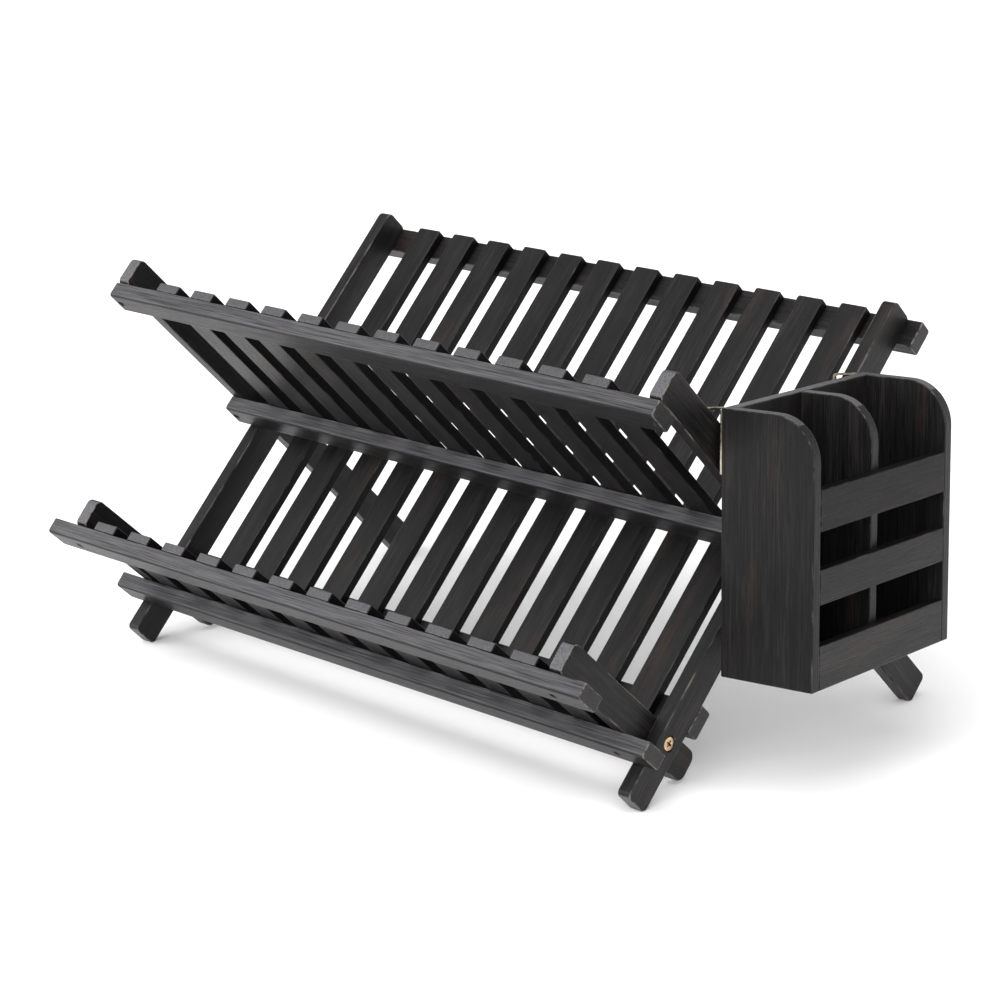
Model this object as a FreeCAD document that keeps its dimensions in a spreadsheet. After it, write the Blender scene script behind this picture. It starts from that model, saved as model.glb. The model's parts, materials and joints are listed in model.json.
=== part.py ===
"""Folding two-tier dish drying rack with a hook-on utensil caddy.

Three slatted wooden frames share two hinge lines that run along X.  The long frame
stands at the front and leans up to the back.  The upper frame crosses it, leans up
to the front and stands on its own two legs at the back, so that both make a V for
plates.  The short lower frame turns near the foot of the long frame and makes the
second V.  A wooden caddy hangs on the right-hand rails by two bent steel hooks.

Axes: +X along the rack, +Y to the back, +Z up.  The origin is on the ground, in the
middle of the object's bounding box.  Lengths are in millimetres, angles in degrees.
"""
import FreeCAD, Part
import Sketcher
import math
import os
import re

Vector = FreeCAD.Vector

DRIVING_SIZES = {
    # rack as a whole
    "total_width": 445,
    "layer_gap": 0.5,
    "stop_gap": 0.3,
    "stand_angle": 45,
    "lower_angle": 43,
    # rails
    "rail_thick": 9,
    "rail_depth": 19.5,
    "rail_round": 4,
    "leg_round": 6,
    "foot_round": 3.5,
    "foot_chamfer": 2.3,
    "foot_reach": 177,
    "top_reach": 157.5,
    "lower_pivot_drop": 137.5,
    "lower_foot_reach": 38,
    "lower_top_reach": 99.5,
    # bars
    "bar_thick": 10,
    "bar_width": 18,
    "bar_round": 2,
    "long_lower_bar_drop": 125,
    # slats
    "slat_count": 12,
    "slat_pitch": 32,
    "slat_width": 19,
    "slat_thick": 6,
    "slat_round": 1.5,
    # screws in the frames
    "pivot_head_radius": 4.2,
    "pivot_shank_radius": 2.2,
    "pivot_sink": 0.2,
    "pivot_clearance": 0.08,
    "pivot_bite": 7.5,
    "frame_screw_head_radius": 2.5,
    "frame_screw_shank_radius": 1.5,
    "frame_screw_sink": 2,
    "frame_screw_bite": 12,
    "screw_tip": 0.4,
    "screw_tip_gap": 0.5,
    "recess_width": 0.8,
    "recess_depth": 0.6,
    # caddy
    "caddy_depth": 59,
    "caddy_length": 142,
    "caddy_height": 149,
    "panel_thick": 7,
    "panel_round": 25,
    "divider_from_front": 67,
    "floor_base": 3,
    "floor_thick": 6,
    "face_slat_thick": 6,
    "face_low_base": 0,
    "face_low_height": 24.5,
    "face_middle_base": 47,
    "face_middle_height": 19.5,
    "face_top_base": 87,
    "face_top_height": 23,
    # caddy hooks
    "hook_thick": 1.2,
    "hook_width": 6,
    "hook_tongue": 2.4,
    "hook_inset": 0.5,
    "hook_plate_height": 36.5,
    "hook_reach": 17,
    "hook_fall": 2,
    "hook_lip_height": 14,
    "hook_bend": 1,
    "hook_screw_upper": 17,
    "hook_screw_lower": 30.5,
    "hook_screw_head_radius": 2,
    "hook_screw_head_height": 1.6,
    "hook_screw_shank_radius": 1.1,
    "hook_screw_bite": 8,
    # how the caddy hangs: lower front corner from the upper hinge line, and its lean
    "caddy_out": 234.8,
    "caddy_front": 80.5,
    "caddy_down": 57,
    "caddy_yaw": 4.5,
    "caddy_tilt": 3,
    "caddy_roll": 3.5,
}

doc = FreeCAD.newDocument("DishRack")
sheet = doc.addObject("Spreadsheet::Sheet", "Sizes")


def fill_sheet(values, first_row):
    """Write plain numbers into the sheet, one row each, with their aliases."""
    for row, (alias, value) in enumerate(values.items(), start=first_row):
        sheet.set(f"A{row}", alias)
        sheet.set(f"B{row}", str(value))
        sheet.setAlias(f"B{row}", alias)
    doc.recompute()


def size(alias):
    """Value of a size, read from the sheet."""
    return float(sheet.get(alias))


def bind(item, prop, formula):
    """Bind a property to a formula written with the sheet's aliases."""
    item.setExpression(prop, re.sub(r"[a-z][a-z_]+", r"Sizes.\g<0>", formula))


fill_sheet(DRIVING_SIZES, first_row=1)


# ---------------------------------------------------------------- frames in space

half_width = size("total_width") / 2
layer_step = size("rail_thick") + size("layer_gap")
upper_outer = half_width
long_outer = half_width - layer_step
lower_outer = half_width - 2 * layer_step
half_depth = size("rail_depth") / 2
pivot_height = ((size("foot_reach") + half_depth - size("foot_chamfer"))
                * math.sin(math.radians(size("stand_angle"))))

# A stop bar rests on the long frame's rails, which it meets at the sum of both angles.
lower_meeting = math.radians(size("stand_angle") + size("lower_angle"))
bar_outer_face = half_depth + size("bar_thick")
lower_stop_edge = ((half_depth + size("stop_gap") + bar_outer_face * math.cos(lower_meeting))
                   / math.sin(lower_meeting))
fill_sheet({
    "upper_stop_edge": half_depth + size("stop_gap"),
    "lower_stop_edge": lower_stop_edge,
    "long_inner_bar_length": 2 * long_outer,
}, first_row=len(DRIVING_SIZES) + 1)


class Frame:
    """Directions of one slatted frame: along its rails, across them, and sideways."""

    def __init__(self, angle, leans_back, origin):
        cosine = math.cos(math.radians(angle))
        sine = math.sin(math.radians(angle))
        side = 1 if leans_back else -1
        self.along = Vector(0, side * cosine, sine)
        self.across = Vector(0, -side * sine, cosine)
        self.sideways = self.along.cross(self.across)
        self.origin = origin

    def point(self, x, along, across):
        return self.origin + Vector(x, 0, 0) + self.along * along + self.across * across


upper_pivot = Vector(0, 0, pivot_height)
long_frame = Frame(size("stand_angle"), True, upper_pivot)
lower_pivot = long_frame.point(0, -size("lower_pivot_drop"), 0)
upper_frame = Frame(size("stand_angle"), False, upper_pivot)
lower_frame = Frame(size("lower_angle"), False, lower_pivot)


def placement(base, x_axis, y_axis, z_axis):
    """Placement that carries the local axes onto three given directions."""
    return FreeCAD.Placement(base, FreeCAD.Rotation(x_axis, y_axis, z_axis, "ZXY"))


# ---------------------------------------------------------------- modelling helpers

def new_body(label):
    body = doc.addObject("PartDesign::Body", label)
    body.Label = label
    return body


def new_sketch(body, name, role, rise="0"):
    """Sketch on one of the body's origin planes, raised along the plane's normal."""
    plane = next(item for item in body.Origin.OriginFeatures if item.Role == role)
    sketch = body.newObject("Sketcher::SketchObject", name)
    sketch.AttachmentSupport = [(plane, "")]
    sketch.MapMode = "FlatFace"
    if rise != "0":
        bind(sketch, "AttachmentOffset.Base.z", rise)
    return sketch


def constrain(sketch, kind, *geometry, formula):
    """Add one dimension and bind it to the sheet."""
    index = sketch.addConstraint(Sketcher.Constraint(kind, *geometry, 1.0))
    bind(sketch, f"Constraints[{index}]", formula)


def rectangle(sketch, left, bottom, width, height):
    """Closed rectangle whose corner and sides are formulas of the sheet."""
    corners = [Vector(-1, -1, 0), Vector(1, -1, 0), Vector(1, 1, 0), Vector(-1, 1, 0)]
    for start, end in zip(corners, corners[1:] + corners[:1]):
        sketch.addGeometry(Part.LineSegment(start, end))
    for line in range(4):
        sketch.addConstraint(Sketcher.Constraint("Coincident", line, 2, (line + 1) % 4, 1))
    for line, kind in enumerate(("Horizontal", "Vertical", "Horizontal", "Vertical")):
        sketch.addConstraint(Sketcher.Constraint(kind, line))
    constrain(sketch, "DistanceX", 0, 1, 0, 2, formula=width)
    constrain(sketch, "DistanceY", 1, 1, 1, 2, formula=height)
    constrain(sketch, "DistanceX", -1, 1, 0, 1, formula=left)
    constrain(sketch, "DistanceY", -1, 1, 0, 1, formula=bottom)


def circle(sketch, across, up, radius):
    """Circle whose centre and radius are formulas of the sheet."""
    index = sketch.addGeometry(Part.Circle(Vector(1, 1, 0), Vector(0, 0, 1), 1.0))
    constrain(sketch, "Radius", index, formula=radius)
    constrain(sketch, "DistanceX", -1, 1, index, 3, formula=across)
    constrain(sketch, "DistanceY", -1, 1, index, 3, formula=up)


def pad(body, sketch, length):
    feature = body.newObject("PartDesign::Pad", sketch.Name + "_pad")
    feature.Profile = sketch
    bind(feature, "Length", length)
    doc.recompute()
    return feature


def pocket(body, sketch, depth=None, reverse=False):
    """Cut a sketch into the body, to a depth or right through, and prove that it cut."""
    volume_before = body.Shape.Volume
    feature = body.newObject("PartDesign::Pocket", sketch.Name + "_cut")
    feature.Profile = sketch
    feature.Reversed = reverse
    if depth is None:
        feature.Type = "ThroughAll"
    else:
        bind(feature, "Length", depth)
    doc.recompute()
    assert body.Shape.Volume < volume_before - 1, f"{feature.Name} cuts nothing"
    return feature


def upright_at(shape, x, y):
    """Names of the edges that run along Z through the point (x, y)."""
    return [f"Edge{number}" for number, edge in enumerate(shape.Edges, start=1)
            if all(near(v.X, x) and near(v.Y, y) for v in edge.Vertexes)]


def rim_at(shape, drawn_circle, z):
    """Names of the circular edges at height z that lie over a drawn circle."""
    return [f"Edge{number}" for number, edge in enumerate(shape.Edges, start=1)
            if isinstance(edge.Curve, Part.Circle)
            and near(edge.Curve.Radius, drawn_circle.Radius)
            and near(edge.Curve.Center.x, drawn_circle.Center.x)
            and near(edge.Curve.Center.y, drawn_circle.Center.y)
            and near(edge.Curve.Center.z, z)]


def dress(body, kind, name, edges, prop, formula):
    """Fillet or chamfer the named edges of the body's tip."""
    base = body.Tip
    feature = body.newObject("PartDesign::" + kind, name)
    feature.Base = (base, edges)
    bind(feature, prop, formula)
    doc.recompute()
    return feature


def near(first, second):
    return abs(first - second) < 1e-4


def turned_solid(outline):
    """Solid turned about Z from an outline of (radius, height) points."""
    points = [Vector(radius, 0, height) for radius, height in outline]
    face = Part.Face(Part.makePolygon(points + points[:1]))
    return face.revolve(Vector(0, 0, 0), Vector(0, 0, 1), 360)


def cross_recess(arm, width, top, depth):
    """Cross-shaped driver recess, to be cut from a screw's head."""
    one = Part.makeBox(arm, width, depth, Vector(-arm / 2, -width / 2, top - depth))
    other = Part.makeBox(width, arm, depth, Vector(-width / 2, -arm / 2, top - depth))
    return one.fuse(other)


def shank_outline(radius, length):
    """Outline of a shank along -Z that ends in a blunt 45-degree point."""
    return [(radius, -length + radius - size("screw_tip")), (size("screw_tip"), -length),
            (0, -length)]


def countersunk_screw(head_radius, shank_radius, length):
    """Countersunk screw along -Z, with a 45-degree head whose top is on z = 0."""
    head_height = head_radius - shank_radius
    outline = [(0, 0), (head_radius, 0), (shank_radius, -head_height)]
    solid = turned_solid(outline + shank_outline(shank_radius, length))
    return solid.cut(cross_recess(head_radius, size("recess_width"), 0, size("recess_depth")))


def round_head_screw(head_radius, shank_radius, head_height, length):
    """Screw along -Z whose head stands on the plane z = 0 and has a bevelled rim."""
    bevel = head_height / 2
    outline = [(0, head_height), (head_radius - bevel, head_height), (head_radius, bevel),
               (head_radius, 0), (shank_radius, 0)]
    solid = turned_solid(outline + shank_outline(shank_radius, length))
    return solid.cut(cross_recess(head_radius, size("recess_width"), head_height,
                                  size("recess_depth")))


def group(label, solids):
    """One sub-part that is a group of separate identical solids."""
    feature = doc.addObject("Part::Feature", label)
    feature.Label = label
    feature.Shape = Part.makeCompound(solids)
    return feature


def placed(shape, where):
    copy = shape.copy()
    copy.Placement = where
    return copy


# ---------------------------------------------------------------- sub-parts of a frame

def rail(label, below, above, bars, pivots, has_foot, outer_is_high):
    """Rail along local X, depth along Y, thickness along Z, with its hinge line at X = 0.

    below and above are the aliases of its reach each way, bars the formulas of its bar
    screws' positions and pivots the (position, radius, countersunk) of its hinge holes.
    """
    body = new_body(label)
    outline = new_sketch(body, label + "_outline", "XY_Plane")
    rectangle(outline, f"0 - {below}", "0 - rail_depth / 2", f"{below} + {above}", "rail_depth")
    pad(body, outline, "rail_thick")
    bottom, top = -size(below), size(above)
    tops = upright_at(body.Shape, top, half_depth) + upright_at(body.Shape, top, -half_depth)
    dress(body, "Fillet", label + "_top_round", tops, "Radius", "rail_round")
    legs = upright_at(body.Shape, bottom, half_depth)
    if not has_foot:
        legs += upright_at(body.Shape, bottom, -half_depth)
    dress(body, "Fillet", label + "_leg_round", legs, "Radius",
          "foot_round" if has_foot else "leg_round")
    if has_foot:
        foot = upright_at(body.Shape, bottom, -half_depth)
        dress(body, "Chamfer", label + "_foot_flat", foot, "Size", "foot_chamfer")
    for index, (position, radius, countersunk) in enumerate(pivots):
        sketch = new_sketch(body, f"{label}_hinge_{index}", "XY_Plane")
        circle(sketch, position, "0", radius)
        pocket(body, sketch, reverse=True)
        if countersunk:
            outer_face = size("rail_thick") if outer_is_high else 0
            rim = rim_at(body.Shape, sketch.Geometry[0], outer_face)
            dress(body, "Chamfer", label + "_countersink", rim, "Size",
                  "pivot_head_radius - pivot_shank_radius + pivot_sink")
    for index, position in enumerate(bars):
        sketch = new_sketch(body, f"{label}_screw_{index}", "XZ_Plane", "rail_depth / 2")
        circle(sketch, position, "rail_thick / 2", "frame_screw_shank_radius")
        pocket(body, sketch, "frame_screw_bite")
    return body


def slat(label, start, end):
    """Slat along local Y from one formula to another, with its back on Z = 0."""
    body = new_body(label)
    outline = new_sketch(body, label + "_outline", "XY_Plane")
    rectangle(outline, "0 - slat_width / 2", start, "slat_width", f"{end} - ({start})")
    pad(body, outline, "slat_thick")
    corners = [f"Edge{number}" for number, edge in enumerate(body.Shape.Edges, start=1)
               if near(edge.Length, size("slat_thick"))]
    dress(body, "Fillet", label + "_corners", corners, "Radius", "slat_round")
    return body


def bar(label, length, screw_spread):
    """Bar along local X, width along Y, with its inner face on Z = 0."""
    body = new_body(label)
    outline = new_sketch(body, label + "_outline", "XY_Plane")
    rectangle(outline, f"0 - ({length}) / 2", "0 - bar_width / 2", length, "bar_width")
    pad(body, outline, "bar_thick")
    long_edges = [f"Edge{number}" for number, edge in enumerate(body.Shape.Edges, start=1)
                  if all(near(v.Z, size("bar_thick")) for v in edge.Vertexes)
                  and edge.Length > size("bar_width") + 1]
    dress(body, "Fillet", label + "_round", long_edges, "Radius", "bar_round")
    for index, sign in enumerate(("", "0 - ")):
        at_screw = f"{sign}({screw_spread})"
        shank = new_sketch(body, f"{label}_shank_{index}", "XY_Plane")
        circle(shank, at_screw, "0", "frame_screw_shank_radius")
        pocket(body, shank, reverse=True)
        head = new_sketch(body, f"{label}_head_{index}", "XY_Plane", "bar_thick")
        circle(head, at_screw, "0", "frame_screw_head_radius")
        pocket(body, head, "frame_screw_sink + frame_screw_head_radius - frame_screw_shank_radius")
    return body


def panel(label, width, height, thickness, round_corner=False):
    """Flat panel: width along local X, height along Y, thickness along Z."""
    body = new_body(label)
    outline = new_sketch(body, label + "_outline", "XY_Plane")
    rectangle(outline, "0", "0", width, height)
    pad(body, outline, thickness)
    if round_corner:
        box = body.Shape.BoundBox
        corner = upright_at(body.Shape, box.XMax, box.YMax)
        dress(body, "Fillet", label + "_round", corner, "Radius", "panel_round")
    return body


def build_slatted_frame(name, frame, outer, rails, bars, slat_start, slat_end):
    """Two rails, the bars on their lower side and a row of slats between the bars.

    bars holds (label, length formula, centre formula, centre value).
    """
    rail_middle = outer - size("rail_thick") / 2
    screw_positions = [formula for _, _, formula, _ in bars]
    for side, sign in (("left", -1), ("right", 1)):
        outer_is_high = frame.sideways.x * sign > 0
        built = rail(f"{name}_rail_{side}", bars=screw_positions,
                     outer_is_high=outer_is_high, **rails)
        inner = sign * (outer - size("rail_thick"))
        base = frame.point(inner if outer_is_high else sign * outer, 0, 0)
        built.Placement = placement(base, frame.along, frame.across, frame.sideways)
    for label, length, _, centre in bars:
        built = bar(label, length, f"{outer_formula[name]} - rail_thick / 2")
        base = frame.point(0, centre, -half_depth)
        built.Placement = placement(base, frame.sideways, -frame.along, -frame.across)
    for number in range(int(size("slat_count"))):
        built = slat(f"{name}_slat_{number + 1:02d}", slat_start, slat_end)
        x = (number - (size("slat_count") - 1) / 2) * size("slat_pitch")
        base = frame.point(x, 0, -half_depth)
        built.Placement = placement(base, frame.sideways, frame.along, frame.across)
    head_depth = half_depth + size("bar_thick") - size("frame_screw_sink")
    length = (size("bar_thick") - size("frame_screw_sink") + size("frame_screw_bite")
              - size("screw_tip_gap"))
    screw = countersunk_screw(size("frame_screw_head_radius"),
                              size("frame_screw_shank_radius"), length)
    group(f"{name}_screws", [
        placed(screw, placement(frame.point(sign * rail_middle, centre, -head_depth),
                                frame.sideways, -frame.along, -frame.across))
        for _, _, _, centre in bars for sign in (-1, 1)])


# ---------------------------------------------------------------- the three frames

outer_formula = {
    "upper_frame": "total_width / 2",
    "long_frame": "total_width / 2 - rail_thick - layer_gap",
    "lower_frame": "total_width / 2 - 2 * rail_thick - 2 * layer_gap",
}
half_bar = size("bar_width") / 2
turning_radius = "pivot_shank_radius + pivot_clearance"

build_slatted_frame(
    "long_frame", long_frame, long_outer,
    rails={"below": "foot_reach", "above": "top_reach", "has_foot": True,
           "pivots": [("0", "pivot_shank_radius", False),
                      ("0 - lower_pivot_drop", "pivot_shank_radius", True)]},
    bars=[("long_frame_top_bar", "total_width", "top_reach - bar_width / 2",
           size("top_reach") - half_bar),
          ("long_frame_lower_bar", "long_inner_bar_length",
           "bar_width / 2 - long_lower_bar_drop", half_bar - size("long_lower_bar_drop"))],
    slat_start="0 - long_lower_bar_drop", slat_end="top_reach")

build_slatted_frame(
    "upper_frame", upper_frame, upper_outer,
    rails={"below": "foot_reach", "above": "top_reach", "has_foot": True,
           "pivots": [("0", turning_radius, True)]},
    bars=[("upper_frame_top_bar", "total_width", "top_reach - bar_width / 2",
           size("top_reach") - half_bar),
          ("upper_frame_stop_bar", "total_width", "upper_stop_edge + bar_width / 2",
           size("upper_stop_edge") + half_bar)],
    slat_start="upper_stop_edge", slat_end="top_reach")

build_slatted_frame(
    "lower_frame", lower_frame, lower_outer,
    rails={"below": "lower_foot_reach", "above": "lower_top_reach", "has_foot": False,
           "pivots": [("0", turning_radius, False)]},
    bars=[("lower_frame_top_bar", "total_width", "lower_top_reach - bar_width / 2",
           size("lower_top_reach") - half_bar),
          ("lower_frame_stop_bar", "total_width", "lower_stop_edge + bar_width / 2",
           size("lower_stop_edge") + half_bar)],
    slat_start="lower_stop_edge", slat_end="lower_top_reach")

# Hinge screws: each passes the outer rail and bites into the next one.
hinge_screws = []
hinge_length = size("rail_thick") + size("layer_gap") + size("pivot_bite") - size("pivot_sink")
hinge_screw = countersunk_screw(size("pivot_head_radius"), size("pivot_shank_radius"),
                                hinge_length)
for hinge, outer in ((upper_pivot, upper_outer), (lower_pivot, long_outer)):
    for sign in (-1, 1):
        outward = Vector(sign, 0, 0)
        head = hinge + outward * (outer - size("pivot_sink"))
        up = long_frame.along
        hinge_screws.append(placed(hinge_screw, placement(head, up, outward.cross(up), outward)))
group("hinge_screws", hinge_screws)

# ---------------------------------------------------------------- the caddy
# Its own frame: X away from the rack, Y to the back, Z up, from its lower front corner
# on the rack's side.  It hangs a little askew, because its hooks sit on two rails that
# lie in different layers.

hang = FreeCAD.Placement(
    Vector(size("caddy_out"), -size("caddy_front"), pivot_height - size("caddy_down")),
    FreeCAD.Rotation(size("caddy_yaw"), -size("caddy_tilt"), -size("caddy_roll")))
AXIS_X, AXIS_Y, AXIS_Z = Vector(1, 0, 0), Vector(0, 1, 0), Vector(0, 0, 1)


def in_caddy(x, y, z, x_axis=AXIS_X, y_axis=AXIS_Y):
    """Placement at a point of the caddy's frame, with two of its directions."""
    return hang * placement(Vector(x, y, z), x_axis, y_axis, x_axis.cross(y_axis))


thick = size("panel_thick")
inner_length = "caddy_length - 2 * panel_thick"
inner_depth = "caddy_depth - panel_thick - face_slat_thick"
floor_top = size("floor_base") + size("floor_thick")

for label, back_face in (("caddy_front_panel", thick), ("caddy_rear_panel", size("caddy_length"))):
    end = panel(label, "caddy_depth", "caddy_height", "panel_thick", round_corner=True)
    for drop in ("hook_screw_upper", "hook_screw_lower"):
        hole = new_sketch(end, f"{label}_{drop}", "YZ_Plane")
        circle(hole, f"caddy_height - {drop}", "panel_thick / 2", "hook_screw_shank_radius")
        pocket(end, hole, "hook_screw_bite", reverse=True)
    end.Placement = in_caddy(0, back_face, 0, AXIS_X, AXIS_Z)

divider = panel("caddy_divider", inner_depth, "caddy_height - floor_base - floor_thick",
                "panel_thick", round_corner=True)
divider.Placement = in_caddy(thick, size("divider_from_front") + thick, floor_top,
                             AXIS_X, AXIS_Z)

floor = panel("caddy_floor", inner_depth, inner_length, "floor_thick")
floor.Placement = in_caddy(thick, thick, size("floor_base"))

back = panel("caddy_back_panel", inner_length, "caddy_height", "panel_thick")
back.Placement = in_caddy(0, thick, 0, AXIS_Y, AXIS_Z)

face_slat_x = size("caddy_depth") - size("face_slat_thick")
group("caddy_face_slats", [
    placed(Part.makeBox(size("face_slat_thick"), size("caddy_length") - 2 * thick,
                        size(f"face_{level}_height")),
           in_caddy(face_slat_x, thick, size(f"face_{level}_base")))
    for level in ("low", "middle", "top")])


def hook_strip():
    """Flat plate whose narrower tongue bends over a rail and down again behind it."""
    gauge, reach, top = size("hook_thick"), size("hook_reach"), size("caddy_height")
    width, far_top = size("hook_width"), top - size("hook_fall")
    plate_end, lip_end = top - size("hook_plate_height"), far_top - size("hook_lip_height")
    outline = [Vector(x, 0, z) for x, z in (
        (0, plate_end), (0, top), (-reach, far_top), (-reach, lip_end),
        (-reach + gauge, lip_end), (-reach + gauge, far_top - gauge), (-gauge, top - gauge),
        (-gauge, plate_end))]
    solid = Part.Face(Part.makePolygon(outline + outline[:1])).extrude(Vector(0, width, 0))
    bends = ((size("hook_bend") + gauge, (outline[1], outline[2])),
             (size("hook_bend"), (outline[5], outline[6])))
    for radius, corners in bends:
        edges = [edge for edge in solid.Edges
                 if near(edge.Length, width)
                 and any(near(edge.CenterOfMass.x, corner.x) and near(edge.CenterOfMass.z, corner.z)
                         for corner in corners)]
        solid = solid.makeFillet(radius, edges)
    spare = (width - size("hook_tongue")) / 2
    for y in (0, width - spare):
        solid = solid.cut(Part.makeBox(reach, spare, size("caddy_height"),
                                       Vector(-gauge - reach, y, lip_end - gauge)))
    for drop in (size("hook_screw_upper"), size("hook_screw_lower")):
        start = Vector(gauge, width / 2, top - drop)
        hole = Part.makeCylinder(size("hook_screw_shank_radius"), 3 * gauge, start, -AXIS_X)
        solid = solid.cut(hole)
    return solid


hook_starts = (size("hook_inset"),
               size("caddy_length") - size("hook_inset") - size("hook_width"))
group("caddy_hooks", [placed(hook_strip(), in_caddy(0, start, 0)) for start in hook_starts])

plate_face = -size("hook_thick")
hook_screw = round_head_screw(size("hook_screw_head_radius"), size("hook_screw_shank_radius"),
                              size("hook_screw_head_height"),
                              size("hook_thick") + size("hook_screw_bite")
                              - size("screw_tip_gap"))
group("caddy_hook_screws", [
    placed(hook_screw, in_caddy(plate_face, start + size("hook_width") / 2,
                                size("caddy_height") - drop, AXIS_Z, AXIS_Y))
    for start in hook_starts
    for drop in (size("hook_screw_upper"), size("hook_screw_lower"))])

# ---------------------------------------------------------------- origin, checks, export

doc.recompute()
subparts = [item for item in doc.Objects
            if item.TypeId in ("PartDesign::Body", "Part::Feature")]
box = FreeCAD.BoundBox()
for item in subparts:
    box.add(item.Shape.BoundBox)
to_origin = FreeCAD.Placement(Vector(-box.Center.x, -box.Center.y, -box.ZMin),
                              FreeCAD.Rotation())
for item in subparts:
    item.Placement = to_origin * item.Placement
doc.recompute()

for item in doc.Objects:
    assert "Invalid" not in item.State and "Error" not in item.State, item.Label
os.makedirs("parts", exist_ok=True)
for item in subparts:
    assert not item.Shape.isNull() and item.Shape.isValid(), item.Label
    item.Shape.exportStep(f"parts/{item.Label}.step")

print("sub-parts:", len(subparts))
print("box, mm:", box.XLength, box.YLength, box.ZLength)
for name, hinge in (("upper hinge", upper_pivot), ("lower hinge", lower_pivot)):
    print(name, "at", to_origin.multVec(hinge))
print("caddy corner at", to_origin.multVec(hang.Base))
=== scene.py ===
"""Folding dish drying rack of black-stained bamboo, with a hook-on utensil caddy.

Every wooden member, screw and hook is rebuilt as a detailed piece that stands for
its CAD node and rides on the same body.  Wooden pieces are modelled with their grain
along local X and then placed, so that one material follows the grain of them all.
"""
import json
import math

import bmesh
import bpy
from mathutils import Euler, Matrix, Vector


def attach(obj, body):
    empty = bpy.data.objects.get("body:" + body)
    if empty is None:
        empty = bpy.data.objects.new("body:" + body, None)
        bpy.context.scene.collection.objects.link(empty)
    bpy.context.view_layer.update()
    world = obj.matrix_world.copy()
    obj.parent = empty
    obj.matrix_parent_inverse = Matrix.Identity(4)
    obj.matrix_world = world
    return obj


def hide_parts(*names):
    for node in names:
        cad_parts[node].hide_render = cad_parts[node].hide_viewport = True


bl_info = {
    "name": "Folding Dish Rack",
    "version": (1, 0, 0),
    "blender": (4, 5, 0),
    "location": "View3D > Sidebar > Dish Rack",
    "description": "Builds a folding slatted dish rack with a utensil caddy",
    "category": "Object",
}

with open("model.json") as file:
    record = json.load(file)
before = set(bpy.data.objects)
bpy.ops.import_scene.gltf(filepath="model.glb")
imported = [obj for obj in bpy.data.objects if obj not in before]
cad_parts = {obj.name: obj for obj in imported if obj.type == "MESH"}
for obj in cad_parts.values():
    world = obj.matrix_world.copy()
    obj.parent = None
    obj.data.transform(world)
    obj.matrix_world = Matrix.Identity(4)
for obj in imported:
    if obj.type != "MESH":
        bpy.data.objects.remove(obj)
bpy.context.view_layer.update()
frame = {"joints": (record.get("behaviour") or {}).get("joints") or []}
hinge_points = {joint["name"]: Vector(joint["pos_m"]) for joint in frame["joints"]
                if "pos_m" in joint}

MM = 0.001
AXIS_X, AXIS_Y, AXIS_Z = Vector((1, 0, 0)), Vector((0, 1, 0)), Vector((0, 0, 1))

# Wear of an eased edge, where 1 is the wear of a rail's or a bar's end
SLAT_WEAR = 0.45
CADDY_WEAR = 0.5
LONG_EDGE_WEAR = 0.7
# How far along an axis a face's normal has to point to count as facing that way
END_OF_BEVEL = 0.3
FLAT_FACE = 0.8

# Hinge screw's recess: radius to the head's, cone's height to half the rail's thickness,
# and depth of the straight part
RECESS_RIM = 1.18
RECESS_CONE = 0.7
RECESS_STRAIGHT = 0.6 * MM
# Top of a countersunk head, as (radius, height) in parts of the head's radius
HEAD_DOME = ((0, 0), (0.55, -0.02), (0.92, -0.06), (1, -0.12))
# What a screw's tip stays short of its full bite
BAR_SCREW_GAP = 0.5 * MM
HOOK_SCREW_GAP = 0.2 * MM
# Eased edge of a hook strip, to its gauge
HOOK_EASE = 0.12

# Noise waves per metre along the grain and across it
FIBRES = (36, 1400, 1400)
HAIRS = (32, 2200, 2200)
STRIPS = (5, 170, 170)
PATCHES = (15, 60, 60)
SCUFFS = (60, 260, 260)
TARNISH = (260, 260, 260)
TURNED_MARKS = (900, 900, 300)
ROLLED_MARKS = (40, 1400, 1400)
# Shift of the grain from one board to the next
BOARD_SHIFT = (0.731, 0.377, 0.593)

# Painted shade in the screws' cross recesses
PAINTED_RECESS_SHADE = (0.02, 0.013, 0.008, 1)
BLACKENED = (0.04, 0.04, 0.042, 1)
PAPER = (0.94, 0.94, 0.94, 1)
WHITE = (1, 1, 1, 1)

# The stage, in metres.  The sun is in watts per square metre
FLOOR_REACH, FLOOR_BOTTOM, FLOOR_TOP = 9, -0.02, -0.0002
PAPER_ROUGHNESS = 0.9
SUN_STRENGTH = 4.7
SUN_SPREAD = math.radians(80)
SUN_LEAN = (math.radians(38), math.radians(14), 0)
# Name, place, target, width and power in watts of each soft light
SOFT_LIGHTS = (
    ("side_fill", (2.4, -0.2, 0.4), (0, 0, 0.05), 1.2, 2.5),
    ("left_fill", (-2.0, -1.5, 0.3), (-0.2, 0, 0.15), 0.8, 9),
    ("left_gloss", (-0.92, -0.80, 0.70), (0, -0.08, 0.04), 0.7, 4),
)
# Height at which the studio starts and stops fading, and its strength low down and overhead
STUDIO_FADE = {"From Min": 0.1, "From Max": 0.55, "To Min": 1.35, "To Max": 0.27}
# Millimetres, like the lens
SENSOR_WIDTH = 36


# ---------------------------------------------------------------- properties

def length(name, description, millimetres):
    """Length property whose default is given in millimetres."""
    return bpy.props.FloatProperty(name=name, description=description, default=millimetres * MM,
                                   min=0, unit="LENGTH", precision=4)


def angle(name, description, degrees):
    """Angle property whose default is given in degrees."""
    return bpy.props.FloatProperty(name=name, description=description,
                                   default=math.radians(degrees), subtype="ANGLE")


def colour(name, description, red, green, blue):
    """Opaque colour property."""
    return bpy.props.FloatVectorProperty(name=name, description=description, size=4, min=0,
                                         max=1, subtype="COLOR", default=(red, green, blue, 1))


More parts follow.
